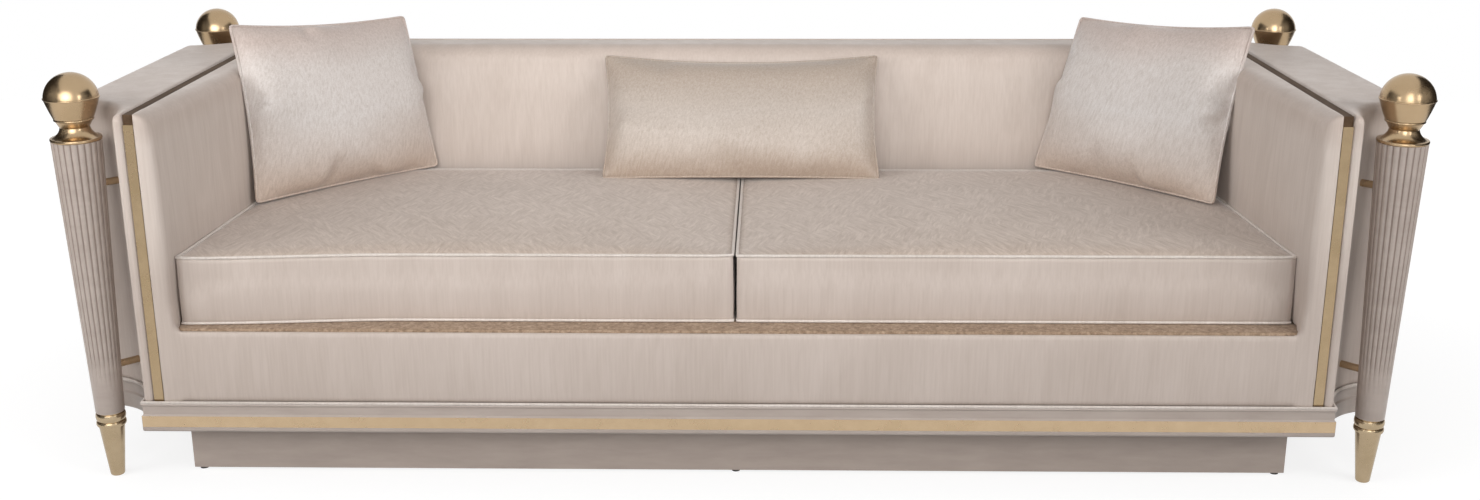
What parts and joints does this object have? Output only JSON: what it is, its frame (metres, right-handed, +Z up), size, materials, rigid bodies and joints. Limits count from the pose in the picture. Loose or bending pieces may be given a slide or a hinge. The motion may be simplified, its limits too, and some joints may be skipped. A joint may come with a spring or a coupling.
{
  "type": "three-seater sofa",
  "caption": "Low box-shaped upholstered sofa with loose seat cushions and pillows, on a recessed plinth, with reeded corner posts in hollow corners, ball finials and brass trim.",
  "frame": {"origin": "on the floor, under the middle of the sofa", "axes": "+Z up, the sofa faces -Y, +X to the right of someone looking at its front"},
  "size_m": [2.5, 0.9, 0.8151],
  "materials": {
    "champagne_satin": "pale champagne satin with fine upright slubs",
    "crushed_velvet": "crushed pale beige velvet",
    "brass": "polished",
    "taupe_lacquer": "satin taupe lacquer",
    "plinth_lacquer": "satin dark taupe lacquer",
    "timber": "planed, bare",
    "stained_timber": "dark brown stain on the edges that show",
    "webbing": "woven webbing",
    "nylon": "matte"
  },
  "bodies": {
    "frame": {"arm_frame_left": "timber", "arm_frame_right": "timber", "arm_panel_left": "stained_timber", "arm_panel_right": "stained_timber", "arm_strip_left": "brass", "arm_strip_right": "brass", "back_frame": "timber", "base_board": "timber", "base_corner_front_left": "taupe_lacquer", "base_corner_front_right": "taupe_lacquer", "base_corner_rear_left": "taupe_lacquer", "base_corner_rear_right": "taupe_lacquer", "base_moulding_front": "taupe_lacquer", "base_moulding_left": "taupe_lacquer", "base_moulding_rear": "taupe_lacquer", "base_moulding_right": "taupe_lacquer", "brass_band_front": "brass", "brass_band_left": "brass", "brass_band_right": "brass", "cross_rails": "timber", "deck_pad": "crushed_velvet", "floor_glides": "nylon", "front_apron": "champagne_satin", "front_rail": "timber", "inner_arm_pad_left": "champagne_satin", "inner_arm_pad_right": "champagne_satin", "inner_back_pad": "champagne_satin", "outer_arm_left": "champagne_satin", "outer_arm_right": "champagne_satin", "outer_back": "champagne_satin", "plinth_corner_blocks": "timber", "plinth_front": "plinth_lacquer", "plinth_left": "plinth_lacquer", "plinth_rear": "plinth_lacquer", "plinth_right": "plinth_lacquer", "post_column_front_left": "taupe_lacquer", "post_column_front_right": "taupe_lacquer", "post_column_rear_left": "taupe_lacquer", "post_column_rear_right": "taupe_lacquer", "post_finial_front_left": "brass", "post_finial_front_right": "brass", "post_finial_rear_left": "brass", "post_finial_rear_right": "brass", "post_sabot_front_left": "brass", "post_sabot_front_right": "brass", "post_sabot_rear_left": "brass", "post_sabot_rear_right": "brass", "post_ties_front_left": "brass", "post_ties_front_right": "brass", "post_ties_rear_left": "brass", "post_ties_rear_right": "brass", "rear_rail": "timber", "side_rail_left": "timber", "side_rail_right": "timber", "webbing_straps": "webbing"},
    "seat_cushion_left": {"seat_cushion_left": "crushed_velvet"},
    "seat_cushion_right": {"seat_cushion_right": "crushed_velvet"},
    "corner_pillow_left": {"corner_pillow_left": "crushed_velvet"},
    "corner_pillow_right": {"corner_pillow_right": "crushed_velvet"},
    "lumbar_pillow": {"lumbar_pillow": "crushed_velvet"}
  },
  "joints": [
    {"name": "seat_cushion_left_slide", "type": "slide", "parent": "frame", "child": "seat_cushion_left", "axis": [0, -1, 0], "range_m": [0, 0.3]},
    {"name": "seat_cushion_right_slide", "type": "slide", "parent": "frame", "child": "seat_cushion_right", "axis": [0, -1, 0], "range_m": [0, 0.3]},
    {"name": "corner_pillow_left_lift", "type": "slide", "parent": "frame", "child": "corner_pillow_left", "axis": [0, 0, 1], "range_m": [0, 0.45]},
    {"name": "corner_pillow_right_lift", "type": "slide", "parent": "frame", "child": "corner_pillow_right", "axis": [0, 0, 1], "range_m": [0, 0.45]},
    {"name": "lumbar_pillow_lift", "type": "slide", "parent": "frame", "child": "lumbar_pillow", "axis": [0, 0, 1], "range_m": [0, 0.45]}
  ]
}
